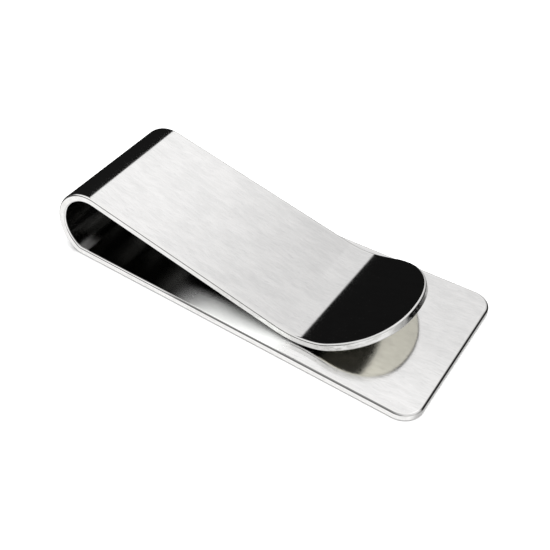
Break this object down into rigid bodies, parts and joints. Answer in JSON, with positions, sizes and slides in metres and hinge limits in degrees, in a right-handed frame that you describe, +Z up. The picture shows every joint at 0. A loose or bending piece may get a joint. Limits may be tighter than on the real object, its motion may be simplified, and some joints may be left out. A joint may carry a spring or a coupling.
{
  "type": "money clip",
  "caption": "Spring money clip: flat steel plate folded back over itself into a sprung leaf with a flared, round-ended lip; holds folded notes.",
  "frame": {"origin": "on the ground under the middle of the clip's length and width", "axes": "+X from the closed loop to the plate's free end, +Y across the strip, +Z up from the plate to the leaf"},
  "size_m": [0.0555, 0.0254, 0.0107],
  "materials": {
    "satin_steel": "satin, brushed along the length",
    "polished_steel": "fine satin, brighter and smoother where the strip is bent"
  },
  "bodies": {
    "plate": {"base_plate": "satin_steel"},
    "heel": {"heel_bend": "polished_steel"},
    "back": {"back_bend": "polished_steel"},
    "crown": {"crown_bend": "polished_steel"},
    "leaf": {"spring_leaf": "satin_steel", "grip_curve": "polished_steel", "lip_tab": "polished_steel"}
  },
  "joints": [
    {"name": "heel_flex", "type": "hinge", "parent": "plate", "child": "heel", "pos_m": [-0.02419, 0, 0.00059], "axis": [0, -1, 0], "range_deg": [0, 1.5], "stiffness_Nm_per_rad": 0.1, "springref_deg": -3.44},
    {"name": "back_flex", "type": "hinge", "parent": "heel", "child": "back", "pos_m": [-0.02708, 0, 0.00413], "axis": [0, -1, 0], "range_deg": [0, 1.5], "stiffness_Nm_per_rad": 0.1, "springref_deg": -3.44},
    {"name": "crown_flex", "type": "hinge", "parent": "back", "child": "crown", "pos_m": [-0.02573, 0, 0.00862], "axis": [0, -1, 0], "range_deg": [0, 1.5], "stiffness_Nm_per_rad": 0.1, "springref_deg": -3.44},
    {"name": "leaf_root_flex", "type": "hinge", "parent": "crown", "child": "leaf", "pos_m": [-0.02131, 0, 0.00999], "axis": [0, -1, 0], "range_deg": [0, 1.8], "stiffness_Nm_per_rad": 0.1, "springref_deg": -3.44}
  ],
  "couplings": [
    {"joint": "back_flex", "follows": "heel_flex", "ratio": 1},
    {"joint": "crown_flex", "follows": "heel_flex", "ratio": 1},
    {"joint": "leaf_root_flex", "follows": "heel_flex", "ratio": 1.2}
  ]
}
